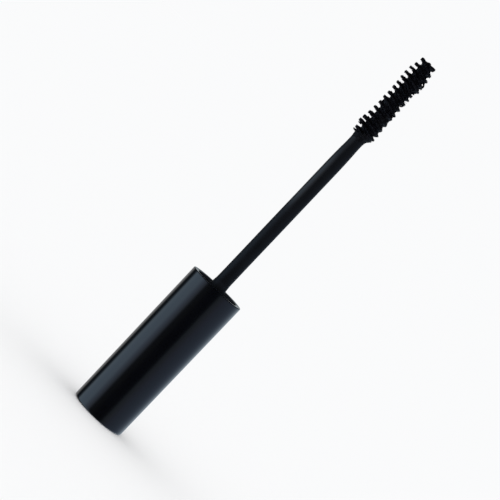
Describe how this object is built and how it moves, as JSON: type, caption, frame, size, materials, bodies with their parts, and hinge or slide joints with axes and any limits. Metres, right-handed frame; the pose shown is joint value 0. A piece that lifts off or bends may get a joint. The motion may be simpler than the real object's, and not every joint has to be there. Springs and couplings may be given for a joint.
{
  "type": "mascara tube wand",
  "caption": "Mascara wand: glossy screw cap with an internal thread, a slim stem, and a twisted-wire brush of short fibres.",
  "frame": {"origin": "centre of the cap's closed end, at its lowest point", "axes": "+Z along the wand, from the cap's closed end to the brush tip; +X and +Y across it, with no side of the round wand preferred"},
  "size_m": [0.0168, 0.0168, 0.1294],
  "materials": {
    "gloss_black_abs": "high gloss, moulded",
    "black_pp": "moulded, semi matte",
    "liner_foam": "soft expanded polyethylene, white",
    "satin_black_stem": "satin, moulded",
    "steel_wire": "drawn stainless wire, coated with product",
    "black_fibre": "nylon fibres wetted with black product"
  },
  "bodies": {
    "root": {"cap_shell": "gloss_black_abs", "closure": "black_pp", "seal_liner": "liner_foam", "stem": "satin_black_stem", "brush_wire": "steel_wire", "bristle_row_01": "black_fibre", "bristle_row_02": "black_fibre", "bristle_row_03": "black_fibre", "bristle_row_04": "black_fibre", "bristle_row_05": "black_fibre", "bristle_row_06": "black_fibre", "bristle_row_07": "black_fibre", "bristle_row_08": "black_fibre", "bristle_row_09": "black_fibre", "bristle_row_10": "black_fibre", "bristle_row_11": "black_fibre", "bristle_row_12": "black_fibre", "bristle_row_13": "black_fibre", "bristle_row_14": "black_fibre", "bristle_row_15": "black_fibre"}
  },
  "joints": []
}
